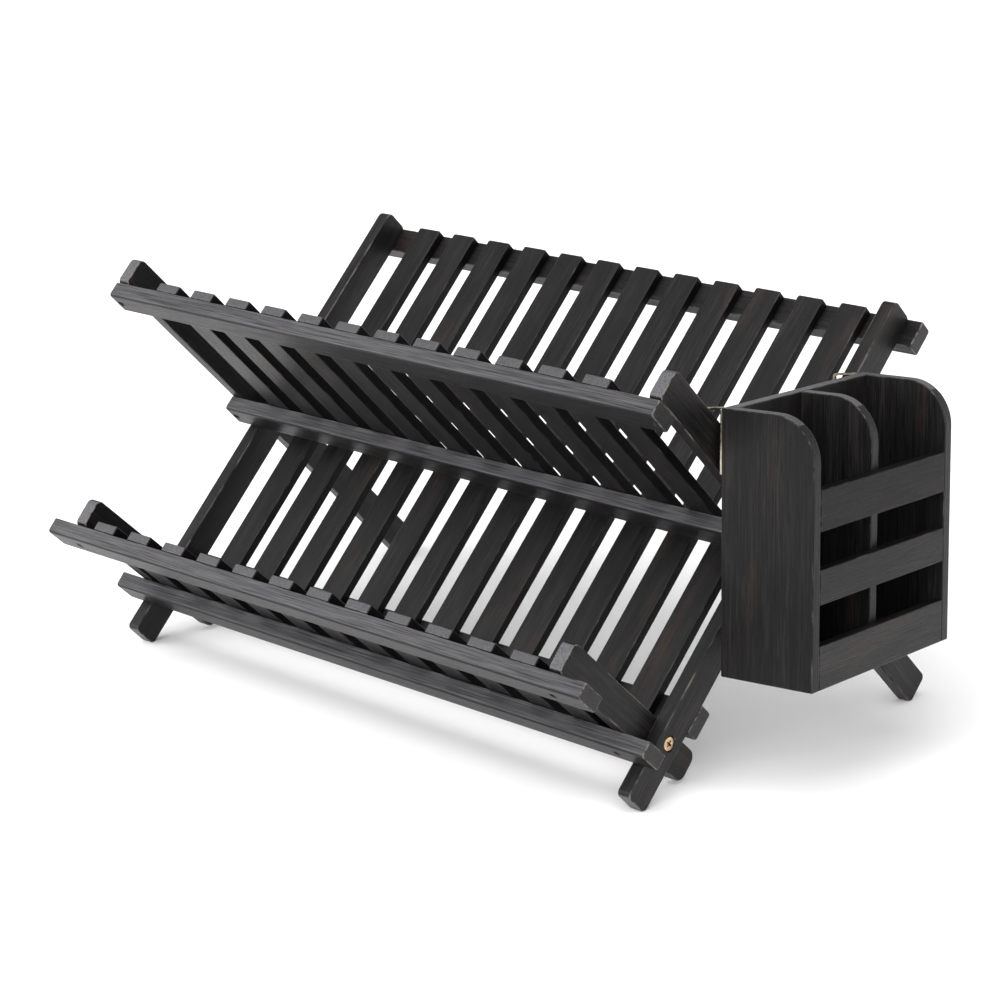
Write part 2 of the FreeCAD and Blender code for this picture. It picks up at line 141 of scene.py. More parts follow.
class RackSizes(bpy.types.PropertyGroup):
    """Sizes of the three slatted frames."""
    total_width: length("Total width", "Length of the long bars", 445)
    layer_gap: length("Layer gap", "Play between two neighbouring rails", 0.5)
    stop_gap: length("Stop gap", "Play between a stop bar and the rails it rests on", 0.3)
    stand_angle: angle("Stand angle", "Angle of the long and the upper frame", 45)
    lower_angle: angle("Lower angle", "Angle of the lower frame", 43)
    rail_thick: length("Rail thickness", "Thickness of a rail", 9)
    rail_depth: length("Rail depth", "Depth of a rail", 19.5)
    rail_round: length("Rail rounding", "Corner radius at a rail's top end", 4)
    leg_round: length("Leg rounding", "Corner radius at a lower rail's leg end", 6)
    foot_round: length("Foot rounding", "Corner radius at a foot's upper corner", 3.5)
    foot_chamfer: length("Foot chamfer", "Corner cut that makes a foot's level flat", 2.3)
    foot_reach: length("Foot reach", "From the upper hinge to a foot", 177)
    top_reach: length("Top reach", "From the upper hinge to a top end", 157.5)
    lower_foot_reach: length("Lower leg", "From the lower hinge to the leg's end", 38)
    lower_top_reach: length("Lower top reach", "From the lower hinge to the top end", 99.5)
    bar_thick: length("Bar thickness", "Thickness of a bar", 10)
    bar_width: length("Bar width", "Width of a bar", 18)
    bar_round: length("Bar rounding", "Radius along a bar's outer edges", 2)
    long_lower_bar_drop: length("Lower bar drop", "Upper hinge to the lower bar's far edge", 125)
    slat_count: bpy.props.IntProperty(name="Slats", description="Slats in each frame",
                                      default=12, min=2)
    slat_pitch: length("Slat pitch", "Distance between neighbouring slats", 32)
    slat_width: length("Slat width", "Width of a slat", 19)
    slat_thick: length("Slat thickness", "Thickness of a slat", 6)
    slat_round: length("Slat rounding", "Corner radius of a slat's ends", 1.5)
    pivot_head: length("Hinge screw head", "Radius of a hinge screw's head", 4.2)
    pivot_shank: length("Hinge screw shank", "Radius of a hinge screw's shank", 2.2)
    pivot_clearance: length("Pivot clearance", "Gap around a hinge screw's shank", 0.08)
    pivot_sink: length("Hinge screw sink", "Depth of the head below the rail's face", 0.2)
    pivot_bite: length("Hinge screw bite", "Depth of the screw in the inner rail", 7.5)
    screw_head: length("Bar screw head", "Radius of a bar screw's head", 2.5)
    screw_shank: length("Bar screw shank", "Radius of a bar screw's shank", 1.5)
    screw_sink: length("Bar screw sink", "Depth of the head below the bar's face", 2)
    screw_bite: length("Bar screw bite", "Depth of the screw in the rail", 12)


class CaddySizes(bpy.types.PropertyGroup):
    """Sizes of the utensil caddy and its hooks, and how it hangs."""
    depth: length("Depth", "From the rack's side to the face slats", 59)
    length: length("Length", "From the front panel to the rear panel", 142)
    height: length("Height", "Height of the panels", 149)
    panel_thick: length("Panel thickness", "Thickness of the panels", 7)
    panel_round: length("Panel rounding", "Radius of the top outer corners", 25)
    divider_from_front: length("Divider place", "From the front face to the divider", 67)
    floor_base: length("Floor base", "Height of the floor's underside", 3)
    floor_thick: length("Floor thickness", "Thickness of the floor", 6)
    face_thick: length("Face slat thickness", "Thickness of the face slats", 6)
    face_low_base: length("Low slat base", "Height of the low face slat's lower edge", 0)
    face_low_height: length("Low slat height", "Height of the low face slat", 24.5)
    face_middle_base: length("Middle slat base", "Height of the middle slat's lower edge", 47)
    face_middle_height: length("Middle slat height", "Height of the middle face slat", 19.5)
    face_top_base: length("Top slat base", "Height of the top slat's lower edge", 87)
    face_top_height: length("Top slat height", "Height of the top face slat", 23)
    out: length("Out", "Caddy's corner from the upper hinge, sideways", 234.8)
    front: length("Front", "Caddy's corner from the upper hinge, forwards", 80.5)
    down: length("Down", "Caddy's corner from the upper hinge, downwards", 57)
    yaw: angle("Yaw", "Turn of the hanging caddy about the vertical", 4.5)
    tilt: angle("Tilt", "Lean of the caddy's top towards the rack", 3)
    roll: angle("Roll", "Drop of the caddy's rear end", 3.5)
    hook_thick: length("Hook thickness", "Gauge of the hook strip", 1.2)
    hook_width: length("Hook width", "Width of the hook's plate", 6)
    hook_tongue: length("Hook tongue", "Width of the tongue over the rail", 2.4)
    hook_inset: length("Hook inset", "From a panel's outer face to the plate", 0.5)
    hook_plate: length("Hook plate", "Height of the plate on the panel's edge", 36.5)
    hook_reach: length("Hook reach", "Length of the tongue over the rail", 17)
    hook_fall: length("Hook fall", "Drop of the tongue towards its far end", 2)
    hook_lip: length("Hook lip", "Height of the turned-down lip", 14)
    hook_bend: length("Hook bend", "Inner radius of a bend", 1)
    screw_upper: length("Upper screw", "Upper screw below the top edge", 17)
    screw_lower: length("Lower screw", "Lower screw below the top edge", 30.5)
    screw_head: length("Screw head", "Radius of a hook screw's head", 2)
    screw_rise: length("Screw head height", "Height of a hook screw's head", 1.6)
    screw_shank: length("Screw shank", "Radius of a hook screw's shank", 1.1)
    screw_bite: length("Screw bite", "Depth of a hook screw in the panel", 8)


class RackFinish(bpy.types.PropertyGroup):
    """Colours and surface detail."""
    # The stain colour is also the colour that the painted shade darkens the wood to.
    stain: colour("Stain", "Black stain in the hollows of the grain", 0.0026, 0.0024, 0.0026)
    fibre: colour("Fibre", "Lighter fibres that show through the stain", 0.0225, 0.0205, 0.0210)
    worn: colour("Worn edge", "Edges where the stain is thin", 0.125, 0.113, 0.105)
    rubbed: colour("Rubbed wood", "Reddish wood where the stain is rubbed through",
                   0.026, 0.0155, 0.0115)
    sawn: colour("Sawn wood", "Fibres of sawn ends and narrow sides", 0.135, 0.133, 0.142)
    brass: colour("Brass", "Screw heads", 0.66, 0.46, 0.27)
    steel: colour("Steel", "Hook strips", 0.50, 0.44, 0.35)
    ease: length("Eased edge", "Width of the eased edge of the wood", 0.7)
    gloss: bpy.props.FloatProperty(name="Lacquer roughness", default=0.36, min=0, max=1,
                                   description="Roughness of the satin lacquer")


class StudioSettings(bpy.types.PropertyGroup):
    """Where the camera stands and what it aims at."""
    azimuth: angle("Azimuth", "Camera's direction, from straight along +Y", 43.5)
    elevation: angle("Elevation", "Camera's height above the level", 16.7)
    camera_roll: angle("Camera roll", "Turn of the camera about its own axis", -0.65)
    distance: bpy.props.FloatProperty(name="Distance", description="Camera to the aim point",
                                      default=1.731, unit="LENGTH")
    lens: bpy.props.FloatProperty(name="Lens", description="Focal length in millimetres",
                                  default=101.4)
    aim_side: bpy.props.FloatProperty(name="Aim sideways", default=-0.0043, unit="LENGTH",
                                      description="Aim point right of the upper hinge")
    aim_rise: bpy.props.FloatProperty(name="Aim upwards", default=-0.0200, unit="LENGTH",
                                      description="Aim point above the upper hinge")


# ---------------------------------------------------------------- mesh making

def axes_matrix(origin, x_axis, y_axis, z_axis):
    """Matrix that carries the local axes onto three given directions at an origin."""
    matrix = Matrix((x_axis, y_axis, z_axis)).transposed().to_4x4()
    matrix.translation = origin
    return matrix


def rounded_outline(corners, steps=8):
    """Outline through (x, y, radius) corners, counter-clockwise, with an arc at each."""
    points = []
    for index, (x, y, radius) in enumerate(corners):
        corner = Vector((x, y))
        if radius <= 0:
            points.append(corner)
            continue
        before = (Vector(corners[index - 1][:2]) - corner).normalized()
        after = (Vector(corners[(index + 1) % len(corners)][:2]) - corner).normalized()
        half_turn = before.angle(after) / 2
        centre = corner + (before + after).normalized() * (radius / math.sin(half_turn))
        start = corner + before * (radius / math.tan(half_turn)) - centre
        end = corner + after * (radius / math.tan(half_turn)) - centre
        first = math.atan2(start.y, start.x)
        sweep = math.atan2(start.cross(end), start.dot(end))
        for step in range(steps + 1):
            turn = first + sweep * step / steps
            points.append(centre + Vector((math.cos(turn), math.sin(turn))) * radius)
    return points


def extruded(outline, start, end):
    """Closed prism on an outline in the XY plane, between two heights along Z."""
    mesh = bmesh.new()
    low = [mesh.verts.new((x, y, start)) for x, y in outline]
    high = [mesh.verts.new((x, y, end)) for x, y in outline]
    mesh.faces.new(reversed(low))
    mesh.faces.new(high)
    for index in range(len(outline)):
        following = (index + 1) % len(outline)
        mesh.faces.new((low[index], low[following], high[following], high[index]))
    bmesh.ops.recalc_face_normals(mesh, faces=mesh.faces)
    return mesh


def swung(mesh):
    """Turn a prism so that it runs along X, with its outline in the YZ plane."""
    mesh.transform(axes_matrix(Vector(), AXIS_Y, AXIS_Z, AXIS_X))
    mesh.normal_update()
    return mesh


def turned(outline, segments=40):
    """Solid turned about Z from (radius, height) points that start and end on the axis."""
    mesh = bmesh.new()
    rings = []
    for radius, height in outline:
        if radius == 0:
            rings.append([mesh.verts.new((0, 0, height))])
        else:
            rings.append([mesh.verts.new((radius * math.cos(turn), radius * math.sin(turn),
                                          height))
                          for turn in (2 * math.pi * step / segments
                                       for step in range(segments))])
    for upper, lower in zip(rings, rings[1:]):
        for step in range(segments):
            following = (step + 1) % segments
            if len(upper) == 1:
                mesh.faces.new((upper[0], lower[step], lower[following]))
            elif len(lower) == 1:
                mesh.faces.new((upper[step], lower[0], upper[following]))
            else:
                mesh.faces.new((upper[step], lower[step], lower[following], upper[following]))
    bmesh.ops.recalc_face_normals(mesh, faces=mesh.faces)
    return mesh


def as_object(name, mesh):
    """Object in the scene that holds a bmesh, which is then freed."""
    data = bpy.data.meshes.new(name)
    mesh.to_mesh(data)
    mesh.free()
    item = bpy.data.objects.new(name, data)
    bpy.context.scene.collection.objects.link(item)
    return item


def carved(mesh, cutters):
    """The mesh with solids cut out of it."""
    block = as_object("block", mesh)
    tools = [as_object("cutter", cutter) for cutter in cutters]
    for tool in tools:
        carving = block.modifiers.new("carving", "BOOLEAN")
        carving.object = tool
        carving.operation = "DIFFERENCE"
        carving.solver = "EXACT"
    bpy.context.view_layer.update()
    result = bmesh.new()
    result.from_object(block, bpy.context.evaluated_depsgraph_get())
    for item in (block, *tools):
        data = item.data
        bpy.data.objects.remove(item)
        bpy.data.meshes.remove(data)
    return result


def ease_edges(mesh, width=None, wear=1, sharper_than=math.radians(40)):
    """Round every sharp edge a little and mark the new faces as worn edge, more at the ends."""
    worn = mesh.faces.layers.float.new("edge_wear")
    sharp = [edge for edge in mesh.edges if edge.calc_face_angle(0) > sharper_than]
    eased = bmesh.ops.bevel(mesh, geom=sharp, offset=width or bpy.context.scene.rack_finish.ease,
                            segments=3, profile=0.5, affect="EDGES", clamp_overlap=False)
    for face in eased["faces"]:
        face[worn] = wear if abs(face.normal.x) > END_OF_BEVEL else LONG_EDGE_WEAR * wear
    return mesh


def copies(mesh, matrices):
    """One mesh that holds a copy of the given one at each matrix."""
    pattern = bpy.data.meshes.new("pattern")
    mesh.to_mesh(pattern)
    mesh.free()
    result = bmesh.new()
    for matrix in matrices:
        known = len(result.verts)
        result.from_mesh(pattern)
        result.verts.ensure_lookup_table()
        bmesh.ops.transform(result, matrix=matrix, verts=result.verts[known:])
    bpy.data.meshes.remove(pattern)
    return result


def add_piece(name, mesh, matrix, finish, body, node):
    """Make a piece of a bmesh: it has a finish, rides on a body and stands for a node."""
    piece = as_object(name, mesh)
    piece.data.materials.append(material(finish))
    for polygon in piece.data.polygons:
        polygon.use_smooth = True
    shading = piece.modifiers.new("flat_faces", "WEIGHTED_NORMAL")
    shading.weight = 100
    piece.matrix_world = matrix
    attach(piece, body)
    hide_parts(node)
    return piece


def add_board(name, mesh, matrix, body, node=None, pale_sides=0, pale_ends=1, shade_level=0,
              side_shade_level=0):
    """Add a wooden piece, with pale sawn ends, paler sides, grain of its own and painted shade set
    by its shade levels.
    """
    pale = mesh.faces.layers.float.new("pale")
    # Painted shade: a layer that darkens the whole piece by its shade level, and its ±Y sides by
    # their side shade level, towards the stain colour.
    painted_shade = mesh.faces.layers.float.new("painted_shade")
    for face in mesh.faces:
        face[painted_shade] = shade_level
        if abs(face.normal.x) > FLAT_FACE:
            face[pale] = pale_ends
        elif abs(face.normal.y) > FLAT_FACE:
            face[pale] = pale_sides
            face[painted_shade] = max(shade_level, side_shade_level)
    board = mesh.verts.layers.float.new("board")
    number = len(bpy.data.meshes)
    for vertex in mesh.verts:
        vertex[board] = number
    return add_piece(name, mesh, matrix, "stained_bamboo", body, node or name)


# ---------------------------------------------------------------- materials

class Nodes:
    """Short way to lay out a material's nodes."""

    def __init__(self, name):
        self.material = bpy.data.materials.new(name)
        self.material.use_nodes = True
        self.tree = self.material.node_tree
        self.shader = self.tree.nodes["Principled BSDF"]

    def add(self, kind, **settings):
        """Add a node and set its properties."""
        node = self.tree.nodes.new(kind)
        for key, value in settings.items():
            setattr(node, key, value)
        return node

    def link(self, output, socket):
        """Join an output to an input."""
        self.tree.links.new(output, socket)

    def own_place(self):
        """Place on the board, shifted by the board's number so that each has its own grain."""
        shift = self.add("ShaderNodeVectorMath", operation="SCALE")
        shift.inputs[0].default_value = BOARD_SHIFT
        self.link(self.attribute("board"), shift.inputs["Scale"])
        moved = self.add("ShaderNodeVectorMath", operation="ADD")
        self.link(self.add("ShaderNodeTexCoord").outputs["Object"], moved.inputs[0])
        self.link(shift.outputs["Vector"], moved.inputs[1])
        return moved.outputs["Vector"]

    def emboss(self, height, strength, depth):
        """Raise the surface's fine relief by a height, to a depth in metres."""
        bump = self.add("ShaderNodeBump")
        bump.inputs["Strength"].default_value = strength
        bump.inputs["Distance"].default_value = depth
        self.link(height, bump.inputs["Height"])
        self.link(bump.outputs["Normal"], self.shader.inputs["Normal"])

    def noise(self, coordinates, detail=4, roughness=0.55):
        """Cloudy value between 0 and 1."""
        node = self.add("ShaderNodeTexNoise")
        node.inputs["Scale"].default_value = 1.0
        node.inputs["Detail"].default_value = detail
        node.inputs["Roughness"].default_value = roughness
        self.link(coordinates, node.inputs["Vector"])
        return node.outputs["Fac"]

    def stretch(self, coordinates, scale):
        """Coordinates multiplied axis by axis."""
        node = self.add("ShaderNodeVectorMath", operation="MULTIPLY")
        node.inputs[1].default_value = scale
        self.link(coordinates, node.inputs[0])
        return node.outputs["Vector"]

    def math(self, operation, first, second):
        """Sum, or another operation held between 0 and 1, of two values or outputs."""
        node = self.add("ShaderNodeMath", operation=operation, use_clamp=operation != "ADD")
        for socket, value in zip(node.inputs, (first, second)):
            if isinstance(value, (int, float)):
                socket.default_value = value
            else:
                self.link(value, socket)
        return node.outputs[0]

    def ramp(self, value, low, high, low_value=0.0, high_value=1.0):
        """Map a value from one range to another and hold it there."""
        node = self.add("ShaderNodeMapRange")
        for name, number in (("From Min", low), ("From Max", high), ("To Min", low_value),
                             ("To Max", high_value)):
            node.inputs[name].default_value = number
        self.link(value, node.inputs["Value"])
        return node.outputs["Result"]

    def mix(self, factor, first, second):
        """Blend from a first colour to a second one."""
        node = self.add("ShaderNodeMix", data_type="RGBA")
        self.link(factor, node.inputs["Factor"])
        for name, value in (("A", first), ("B", second)):
            socket = next(item for item in node.inputs
                          if item.name == name and item.type == "RGBA")
            if hasattr(value, "links"):
                self.link(value, socket)
            else:
                socket.default_value = value
        return next(item for item in node.outputs if item.type == "RGBA")

    def attribute(self, name):
        """Value of a mesh layer."""
        return self.add("ShaderNodeAttribute", attribute_name=name).outputs["Fac"]


def stained_bamboo():
    """Black-stained bamboo: fine fibres along X, worn edges, rubbed patches, painted shade, satin
    lacquer.
    """
    finish = bpy.context.scene.rack_finish
    nodes = Nodes("black_stained_bamboo")
    place = nodes.own_place()
    fibres = nodes.noise(nodes.stretch(place, FIBRES), detail=5, roughness=0.7)
    hairs = nodes.noise(nodes.stretch(place, HAIRS), detail=3, roughness=0.6)
    strips = nodes.noise(nodes.stretch(place, STRIPS), detail=3)
    patches = nodes.noise(nodes.stretch(place, PATCHES), detail=4)
    scuffs = nodes.noise(nodes.stretch(place, SCUFFS), detail=4, roughness=0.7)
    pale = nodes.attribute("pale")

    tone = nodes.math("MULTIPLY", nodes.ramp(fibres, 0.40, 0.64),
                      nodes.ramp(strips, 0.36, 0.66, 0.45, 1.0))
    tone = nodes.math("MULTIPLY", tone, nodes.ramp(patches, 0.34, 0.60, 0.35, 1.0))
    wood = nodes.mix(tone, tuple(finish.stain), tuple(finish.fibre))
    rubbed = nodes.math("MULTIPLY", nodes.ramp(patches, 0.57, 0.72),
                        nodes.ramp(fibres, 0.40, 0.62, 0.2, 0.8))
    wood = nodes.mix(rubbed, wood, tuple(finish.rubbed))
    sawn = nodes.mix(nodes.ramp(hairs, 0.28, 0.66), tuple(finish.stain), tuple(finish.sawn))
    wood = nodes.mix(pale, wood, sawn)
    # Painted shade: darkens the wood towards the stain colour where the painted shade layer is
    # set.
    painted_shade = nodes.attribute("painted_shade")
    wood = nodes.mix(painted_shade, wood, tuple(finish.stain))
    edge_wear = nodes.attribute("edge_wear")
    wear = nodes.math("ADD", scuffs, nodes.math("MULTIPLY", edge_wear, 0.2))
    wear = nodes.math("MULTIPLY", edge_wear, nodes.ramp(wear, 0.60, 0.74, 0.0, 0.9))
    wood = nodes.mix(wear, wood, tuple(finish.worn))
    nodes.link(wood, nodes.shader.inputs["Base Color"])

    rough = nodes.ramp(hairs, 0.32, 0.68, finish.gloss + 0.10, finish.gloss - 0.06)
    rough = nodes.math("ADD", rough, nodes.math("MULTIPLY", pale, 0.10))
    nodes.link(rough, nodes.shader.inputs["Roughness"])
    # Painted shade also dims the lacquer's sheen where it lies.
    nodes.link(nodes.ramp(painted_shade, 0, 1, 0.19, 0.04),
               nodes.shader.inputs["Specular IOR Level"])
    relief = nodes.math("ADD", nodes.math("MULTIPLY", fibres, 0.7),
                        nodes.math("MULTIPLY", hairs, 0.3))
    nodes.emboss(relief, 0.7, 0.0004)
    return nodes.material


def metal(name, tint, roughness, streak):
    """Metal with fine brush marks, slight tarnish and painted shade in its recesses."""
    nodes = Nodes(name)
    place = nodes.add("ShaderNodeTexCoord").outputs["Object"]
    marks = nodes.noise(nodes.stretch(place, streak), detail=3)
    cloud = nodes.noise(nodes.stretch(place, TARNISH), detail=3)
    dull = tuple(0.6 * channel for channel in tint[:3]) + (1,)
    shine = nodes.mix(nodes.ramp(cloud, 0.42, 0.68), tuple(tint), dull)
    # Painted shade: the marked recess faces are darkened.
    nodes.link(nodes.mix(nodes.attribute("recess_shade"), shine, PAINTED_RECESS_SHADE),
               nodes.shader.inputs["Base Color"])
    nodes.shader.inputs["Metallic"].default_value = 1.0
    nodes.link(nodes.ramp(marks, 0.3, 0.7, roughness - 0.06, roughness + 0.1),
               nodes.shader.inputs["Roughness"])
    nodes.emboss(marks, 0.2, 0.0001)
    return nodes.material


FINISHES = {
    "stained_bamboo": stained_bamboo,
    "brass": lambda: metal("worn_brass", bpy.context.scene.rack_finish.brass, 0.28,
                           TURNED_MARKS),
    "steel": lambda: metal("brushed_steel", bpy.context.scene.rack_finish.steel, 0.28,
                           ROLLED_MARKS),
    "black_screw": lambda: metal("blackened_screw", BLACKENED, 0.42, TURNED_MARKS),
}
made_finishes = {}


def material(slot):
    """The finish of a material slot, made the first time that it is asked for."""
    if slot not in made_finishes:
        made_finishes[slot] = FINISHES[slot]()
    return made_finishes[slot]


# ---------------------------------------------------------------- the slatted frames

class SlattedFrame:
    """One slatted frame: where it is, how far its rails reach, its bars and its slats."""

    def __init__(self, name, lean, leans_back, hinge, layer, below, above, bars, slat_start):
        sizes = bpy.context.scene.rack_sizes
        side = 1 if leans_back else -1
        self.name = name
        self.along = Vector((0, side * math.cos(lean), math.sin(lean)))
        self.across = Vector((0, -side * math.sin(lean), math.cos(lean)))
        self.sideways = self.along.cross(self.across)
        self.hinge = hinge
        self.outer = sizes.total_width / 2 - layer * (sizes.rail_thick + sizes.layer_gap)
        self.rail_middle = self.outer - sizes.rail_thick / 2
        self.below, self.above = below, above
        self.bars = bars
        self.slat_start = slat_start

    def point(self, x, along, across):
        """Point of the frame, from its hinge."""
        return self.hinge + AXIS_X * x + self.along * along + self.across * across


def slatted_frames():
    """The long, the upper and the lower frame.  Bars are (name, length, middle)."""
    sizes = bpy.context.scene.rack_sizes
    half_depth = sizes.rail_depth / 2
    half_bar = sizes.bar_width / 2
    meeting = sizes.stand_angle + sizes.lower_angle
    upper_stop = half_depth + sizes.stop_gap
    lower_stop = ((upper_stop + (half_depth + sizes.bar_thick) * math.cos(meeting))
                  / math.sin(meeting))
    inner_length = sizes.total_width - 2 * (sizes.rail_thick + sizes.layer_gap)
    return [
        SlattedFrame("long_frame", sizes.stand_angle, True, hinge_points["upper_fold"], 1,
                     sizes.foot_reach, sizes.top_reach,
                     [("top_bar", sizes.total_width, sizes.top_reach - half_bar),
                      ("lower_bar", inner_length, half_bar - sizes.long_lower_bar_drop)],
                     -sizes.long_lower_bar_drop),
        SlattedFrame("upper_frame", sizes.stand_angle, False, hinge_points["upper_fold"], 0,
                     sizes.foot_reach, sizes.top_reach,
                     [("top_bar", sizes.total_width, sizes.top_reach - half_bar),
                      ("stop_bar", sizes.total_width, upper_stop + half_bar)],
                     upper_stop),
        SlattedFrame("lower_frame", sizes.lower_angle, False, hinge_points["lower_fold"], 2,
                     sizes.lower_foot_reach, sizes.lower_top_reach,
                     [("top_bar", sizes.total_width, sizes.lower_top_reach - half_bar),
                      ("stop_bar", sizes.total_width, lower_stop + half_bar)],
                     lower_stop),
    ]


def rail_mesh(part, sunk_hinge, outer_side):
    """Rail along X, depth along Y; sunk_hinge is where a screw head is let into it."""
    sizes = bpy.context.scene.rack_sizes
    half_depth, half_thick = sizes.rail_depth / 2, sizes.rail_thick / 2
    if part.name == "lower_frame":
        leg_round = sizes.leg_round
        foot = [(-part.below, -half_depth, leg_round)]
    else:
        leg_round = sizes.foot_round
        foot = [(-part.below, sizes.foot_chamfer - half_depth, 0),
                (sizes.foot_chamfer - part.below, -half_depth, 0)]
    outline = rounded_outline(foot + [(part.above, -half_depth, sizes.rail_round),
                                      (part.above, half_depth, sizes.rail_round),
                                      (-part.below, half_depth, leg_round)])
    mesh = ease_edges(extruded(outline, -half_thick, half_thick))
    if sunk_hinge is None:
        return mesh
    rim, bore = RECESS_RIM * sizes.pivot_head, sizes.pivot_shank + sizes.pivot_clearance
    cone = RECESS_CONE * half_thick
    hole = turned([(0, cone), (rim, cone), (rim, 0), (bore, -cone),
                   (bore, -sizes.rail_thick), (0, -sizes.rail_thick)])
    hole.transform(Matrix.Translation((sunk_hinge, 0, 0))
                   @ Matrix.Rotation(0 if outer_side > 0 else math.pi, 4, "X")
                   @ Matrix.Translation((0, 0, half_thick - RECESS_STRAIGHT)))
    return carved(mesh, [hole])


def bar_mesh(length, screw_spread):
    """Bar along X with rounded outer edges and a sunk screw hole near each end."""
    sizes = bpy.context.scene.rack_sizes
    half_bar = sizes.bar_width / 2
    outline = rounded_outline([(-half_bar, 0, 0), (half_bar, 0, 0),
                               (half_bar, sizes.bar_thick, sizes.bar_round),
                               (-half_bar, sizes.bar_thick, sizes.bar_round)])
    mesh = ease_edges(swung(extruded(outline, -length / 2, length / 2)))
    bottom = sizes.bar_thick - sizes.screw_sink - (sizes.screw_head - sizes.screw_shank)
    holes = []
    for x in (-screw_spread, screw_spread):
        hole = turned([(0, sizes.bar_thick + sizes.screw_sink),
                       (sizes.screw_head, sizes.bar_thick + sizes.screw_sink),
                       (sizes.screw_head, bottom), (0, bottom)])
        hole.transform(Matrix.Translation((x, 0, 0)))
        holes.append(hole)
    return carved(mesh, holes)


def slat_mesh(start, end):
    """Slat along X with its back on Z = 0 and small rounded corners."""
    sizes = bpy.context.scene.rack_sizes
    half_width = sizes.slat_width / 2
    corners = ((start, -half_width), (end, -half_width), (end, half_width), (start, half_width))
    outline = rounded_outline([(x, y, sizes.slat_round) for x, y in corners])
    return ease_edges(extruded(outline, 0, sizes.slat_thick), wear=SLAT_WEAR)


class AddRails(bpy.types.Operator):
    """Add the six rails, two to each slatted frame"""
    bl_idname = "dish_rack.add_rails"
    bl_label = "Rails"

    def execute(self, context):
        hinge_spread = (hinge_points["upper_fold"] - hinge_points["lower_fold"]).length
        sunk_hinges = {"long_frame": -hinge_spread, "upper_frame": 0}
        for part in slatted_frames():
            for side, sign in (("left", -1), ("right", 1)):
                mesh = rail_mesh(part, sunk_hinges.get(part.name), part.sideways.x * sign)
                middle = part.point(sign * part.rail_middle, 0, 0)
                add_board(f"{part.name}_rail_{side}", mesh,
                          axes_matrix(middle, part.along, part.across, part.sideways),
                          part.name)
        return {"FINISHED"}


class AddBars(bpy.types.Operator):
    """Add the six bars that join the rails, with their sunk screw holes"""
    bl_idname = "dish_rack.add_bars"
    bl_label = "Bars"

    def execute(self, context):
        half_depth = context.scene.rack_sizes.rail_depth / 2
        for part in slatted_frames():
            for label, bar_length, middle in part.bars:
                add_board(f"{part.name}_{label}", bar_mesh(bar_length, part.rail_middle),
                          axes_matrix(part.point(0, middle, -half_depth), part.sideways,
                                      -part.along, -part.across),
                          part.name, pale_sides=0.6, pale_ends=0.2)
        return {"FINISHED"}


class AddSlats(bpy.types.Operator):
    """Add the row of slats of each frame"""
    bl_idname = "dish_rack.add_slats"
    bl_label = "Slats"

    def execute(self, context):
        sizes = context.scene.rack_sizes
        for part in slatted_frames():
            for number in range(sizes.slat_count):
                x = (number - (sizes.slat_count - 1) / 2) * sizes.slat_pitch
                # Painted shade darkens each slat's sides, where they face their neighbours.
                add_board(f"{part.name}_slat_{number + 1:02d}",
                          slat_mesh(part.slat_start, part.above),
                          axes_matrix(part.point(x, 0, -sizes.rail_depth / 2), part.along,
                                      -part.sideways, part.across), part.name,
                          pale_ends=0.7, side_shade_level=0.75)
        return {"FINISHED"}


# ---------------------------------------------------------------- screws

def cross_cutter(radius, top, depth):
    """Cross-shaped driver recess that narrows downwards."""
    half_slot, arm, narrowing = 0.15 * radius, 0.64 * radius, 0.6
    outline = [(arm, -half_slot), (arm, half_slot), (half_slot, half_slot), (half_slot, arm),
               (-half_slot, arm), (-half_slot, half_slot), (-arm, half_slot),
               (-arm, -half_slot), (-half_slot, -half_slot), (-half_slot, -arm),
               (half_slot, -arm), (half_slot, -half_slot)]
    mesh = extruded([Vector(point) for point in outline], top - depth, top + depth)
    for vertex in mesh.verts:
        if vertex.co.z < top:
            vertex.co.x *= narrowing
            vertex.co.y *= narrowing
    return mesh


def screw_mesh(head_outline, head_radius, top, shank_radius, length):
    """Screw along -Z: a turned head with a cross recess painted dark as shade, on a pointed shank.
    """
    tip, depth = 0.3 * shank_radius, 0.6 * (head_radius - shank_radius)
    shank = [(shank_radius, shank_radius - length), (tip, -length), (0, -length)]
    screw = carved(turned(head_outline + shank), [cross_cutter(head_radius, top, depth)])
    # Faces deep in the cross recess are marked for painted shade.
    recess_shade = screw.faces.layers.float.new("recess_shade")
    reach, lowest, highest = 0.66 * head_radius, top - 1.1 * depth, top - 0.2 * depth
    for face in screw.faces:
        middle = face.calc_center_median()
        in_recess = math.hypot(middle.x, middle.y) < reach
        face[recess_shade] = 1 if in_recess and lowest < middle.z < highest else 0
    return screw


def countersunk_screw(head_radius, shank_radius, length):
    """Countersunk screw whose head has its slightly domed top on z = 0."""
    dome = [(radius * head_radius, height * head_radius) for radius, height in HEAD_DOME]
    outline = dome + [(shank_radius, shank_radius - head_radius)]
    return screw_mesh(outline, head_radius, 0, shank_radius, length)


def dome_screw(head_radius, rise, shank_radius, length):
    """Round-headed screw whose head sits on z = 0."""
    steps = 8
    outline = [(head_radius * math.sin(turn), rise * math.cos(turn))
               for turn in (math.pi / 2 * step / steps for step in range(steps + 1))]
    outline[0] = (0, rise)
    return screw_mesh(outline + [(shank_radius, 0)], head_radius, rise, shank_radius, length)


